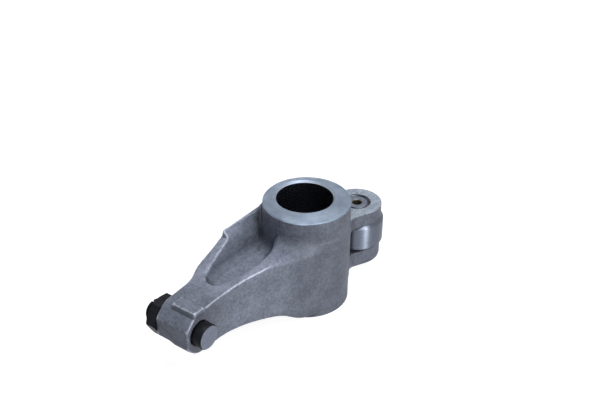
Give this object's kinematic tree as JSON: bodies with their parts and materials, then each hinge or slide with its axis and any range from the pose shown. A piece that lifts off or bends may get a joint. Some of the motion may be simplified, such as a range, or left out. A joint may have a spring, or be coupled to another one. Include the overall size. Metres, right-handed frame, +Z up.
{
  "type": "rocker arm",
  "caption": "Forged engine rocker arm: shaft bore in the hub, cam roller in a fork on one side, and an adjusting screw with lock nut and swivelling foot at the arm's far end.",
  "frame": {"origin": "on the shaft bore's axis, midway along the hub", "axes": "+Z up the shaft bore, +X towards the arm's tip, +Y towards the swivelling foot"},
  "size_m": [0.1946, 0.0708, 0.0794],
  "materials": {
    "forged_steel": "shot-blasted forging with machined faces",
    "bush_steel": "fine bored",
    "hardened_steel": "ground and polished",
    "bronze": "satin",
    "pin_steel": "ground, staked ends",
    "black_steel": "black oxide",
    "black_nut_steel": "black oxide",
    "foot_steel": "black side, ground face"
  },
  "bodies": {
    "arm": {"rocker_body": "forged_steel", "shaft_bush": "bush_steel", "roller_pin": "pin_steel"},
    "roller": {"roller": "hardened_steel"},
    "floating_bush": {"roller_bush": "bronze"},
    "screw": {"adjusting_screw": "black_steel"},
    "nut": {"lock_nut": "black_nut_steel"},
    "foot": {"swivel_foot": "foot_steel"}
  },
  "joints": [
    {"name": "bush_spin", "type": "hinge", "parent": "arm", "child": "floating_bush", "pos_m": [-0.0416, 0.0167, 0], "axis": [0, 0, 1], "continuous": true},
    {"name": "roller_spin", "type": "hinge", "parent": "arm", "child": "roller", "pos_m": [-0.0416, 0.0167, 0], "axis": [0, 0, 1], "continuous": true},
    {"name": "screw_travel", "type": "slide", "parent": "arm", "child": "screw", "axis": [0, 1, 0], "range_m": [-0.0002, 0.0045]},
    {"name": "nut_turn", "type": "hinge", "parent": "arm", "child": "nut", "pos_m": [0.1195, -0.0249, 0], "axis": [0, -1, 0], "continuous": true},
    {"name": "foot_tilt", "type": "hinge", "parent": "screw", "child": "foot", "pos_m": [0.1195, 0.00846, 0], "axis": [0, 0, 1], "range_deg": [-3, 3]}
  ]
}
